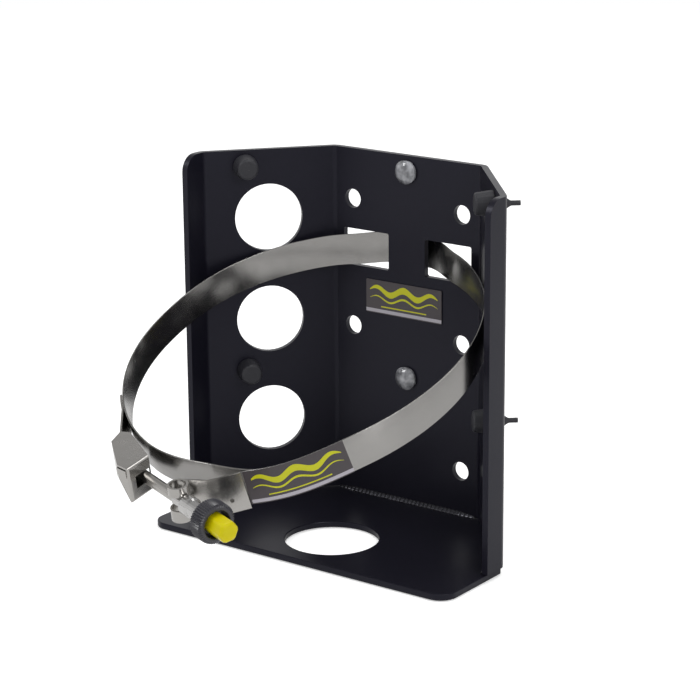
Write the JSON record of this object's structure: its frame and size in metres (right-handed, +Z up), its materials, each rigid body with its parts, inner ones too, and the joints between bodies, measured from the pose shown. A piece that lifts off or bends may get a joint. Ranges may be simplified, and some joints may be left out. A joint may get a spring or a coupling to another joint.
{
  "type": "gas cylinder bracket",
  "caption": "Wall bracket for a gas cylinder: folded plate with angled wings and rubber bumpers on a small shelf, with a steel strap and a quick-release bolt latch.",
  "frame": {"origin": "middle of the six mounting holes, on the rear face of the back panel", "axes": "+Y out of the rear face into the wall, the cylinder side faces -Y, +Z up, +X to the right seen from the cylinder side"},
  "size_m": [0.1824, 0.2108, 0.1841],
  "materials": {
    "powder_coat": "satin black powder coat",
    "weld": "powder coat over a weld bead",
    "rubber": "matt",
    "clear_bumper": "glossy, translucent grey",
    "label_film": "printed film",
    "stainless": "cold-rolled stainless strip",
    "bright_plating": "bright",
    "black_plastic": "moulded",
    "yellow_vinyl": "soft, matt"
  },
  "bodies": {
    "bracket": {"bracket_body": "powder_coat", "shelf_plate": "powder_coat", "panel_weld": "weld", "flange_weld_left": "weld", "flange_weld_right": "weld", "wing_bumper_left_upper": "rubber", "wing_bumper_left_lower": "rubber", "wing_bumper_right_upper": "rubber", "wing_bumper_right_lower": "rubber", "panel_bumper_upper": "clear_bumper", "panel_bumper_lower": "clear_bumper", "panel_label": "label_film"},
    "strap": {"strap_band": "stainless", "strap_label": "label_film", "hook_bracket": "stainless", "loop_bracket": "stainless"},
    "bolt": {"t_bolt": "stainless"},
    "collar": {"collar": "bright_plating"},
    "knob": {"knob": "black_plastic", "knob_insert": "stainless", "end_cap": "yellow_vinyl"}
  },
  "joints": [
    {"name": "strap_lift", "type": "hinge", "parent": "bracket", "child": "strap", "pos_m": [0, -0.002, 0.0367], "axis": [-1, 0, 0], "range_deg": [0, 28]},
    {"name": "bolt_swing", "type": "hinge", "parent": "strap", "child": "bolt", "pos_m": [-0.02423, -0.17939, -0.02884], "axis": [-0.0444, 0.2128, -0.9761], "range_deg": [0, 25]},
    {"name": "knob_travel", "type": "slide", "parent": "bolt", "child": "collar", "axis": [0.9513, -0.2894, -0.1064], "range_m": [0, 0.0054]},
    {"name": "knob_turn", "type": "hinge", "parent": "collar", "child": "knob", "pos_m": [0.0279, -0.19525, -0.03467], "axis": [0.9513, -0.2894, -0.1064], "range_deg": [0, 2160]}
  ],
  "couplings": [
    {"joint": "knob_turn", "follows": "knob_travel", "rad_per_m": 6981.3}
  ]
}
